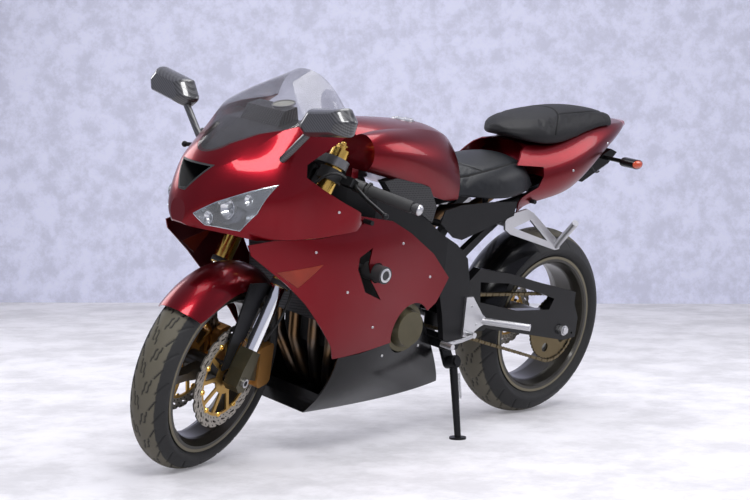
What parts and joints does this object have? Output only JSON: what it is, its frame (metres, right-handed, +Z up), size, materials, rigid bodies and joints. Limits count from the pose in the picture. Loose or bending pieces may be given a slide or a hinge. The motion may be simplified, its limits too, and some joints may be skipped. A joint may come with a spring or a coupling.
{
  "type": "sport motorcycle",
  "caption": "Middleweight sport motorcycle leaning on its side stand, with turning wheels, steering and stand.",
  "frame": {"origin": "middle of the machine's box on the ground, as it stands on its side stand", "axes": "+X forward along the machine, +Y to the rider's left, +Z up"},
  "size_m": [2.0119, 0.8264, 1.1195],
  "materials": {
    "candy_red": "gloss",
    "satin_black": "satin",
    "gloss_black": "gloss",
    "black_plastic": "matt",
    "tyre_rubber": "matt",
    "grip_rubber": "matt",
    "bronze_wheel": "satin",
    "bronze_case": "satin",
    "steel": "satin",
    "gold_fork": "gloss",
    "chrome_leg": "gloss",
    "caliper_bronze": "satin",
    "exhaust_steel": "satin",
    "radiator_black": "matt",
    "alloy": "satin",
    "smoked_screen": "gloss",
    "clear_lens": "gloss",
    "seat_vinyl": "matt"
  },
  "bodies": {
    "chassis": {"air_intake": "black_plastic", "belly_pan": "gloss_black", "chain": "steel", "clutch_cover": "bronze_case", "cowl_stay": "black_plastic", "crash_bungs": "grip_rubber", "dash": "black_plastic", "engine": "bronze_case", "exhaust_headers": "exhaust_steel", "exhaust_link": "exhaust_steel", "frame": "satin_black", "front_signals": "clear_lens", "fuel_cap": "alloy", "fuel_tank": "candy_red", "generator_cover": "bronze_case", "headlights": "clear_lens", "knee_panels": "black_plastic", "mirrors": "black_plastic", "passenger_pegs": "steel", "pillion_seat": "seat_vinyl", "plate_carrier": "gloss_black", "radiator": "radiator_black", "rear_axle": "steel", "rear_caliper": "caliper_bronze", "rear_hugger": "gloss_black", "rear_shock": "satin_black", "rearsets": "steel", "rider_seat": "seat_vinyl", "side_covers": "satin_black", "side_fairings": "candy_red", "silencer": "exhaust_steel", "subframe": "satin_black", "swingarm": "satin_black", "tail_cowl": "candy_red", "tail_lamp": "clear_lens", "undertray": "black_plastic", "upper_cowl": "candy_red", "windscreen": "smoked_screen"},
    "steering": {"clip_on_bars": "satin_black", "fork_guards": "satin_black", "fork_legs": "chrome_leg", "fork_tubes": "gold_fork", "front_axle": "steel", "front_calipers": "caliper_bronze", "front_fender": "candy_red", "grips": "grip_rubber", "levers": "alloy", "steering_clamps": "satin_black"},
    "front_wheel": {"front_discs": "steel", "front_rim": "bronze_wheel", "front_tyre": "tyre_rubber"},
    "rear_wheel": {"rear_disc": "steel", "rear_rim": "bronze_wheel", "rear_sprocket": "steel", "rear_tyre": "tyre_rubber"},
    "side_stand": {"side_stand": "satin_black"}
  },
  "joints": [
    {"name": "steering", "type": "hinge", "parent": "chassis", "child": "steering", "pos_m": [0.8267, -0.16873, -0.00372], "axis": [-0.4196, 0.1516, 0.895], "range_deg": [-42.17, 7.83]},
    {"name": "front_wheel_spin", "type": "hinge", "parent": "steering", "child": "front_wheel", "pos_m": [0.72055, -0.11143, 0.28459], "axis": [-0.2685, 0.9211, -0.2819], "continuous": true},
    {"name": "rear_wheel_spin", "type": "hinge", "parent": "chassis", "child": "rear_wheel", "pos_m": [-0.66823, -0.11603, 0.31196], "axis": [-0.0006, 0.9859, -0.1673], "continuous": true},
    {"name": "side_stand_swing", "type": "hinge", "parent": "chassis", "child": "side_stand", "pos_m": [-0.1345, 0.03104, 0.23243], "axis": [0.0345, 0.9881, 0.1497], "range_deg": [0, 95]}
  ]
}
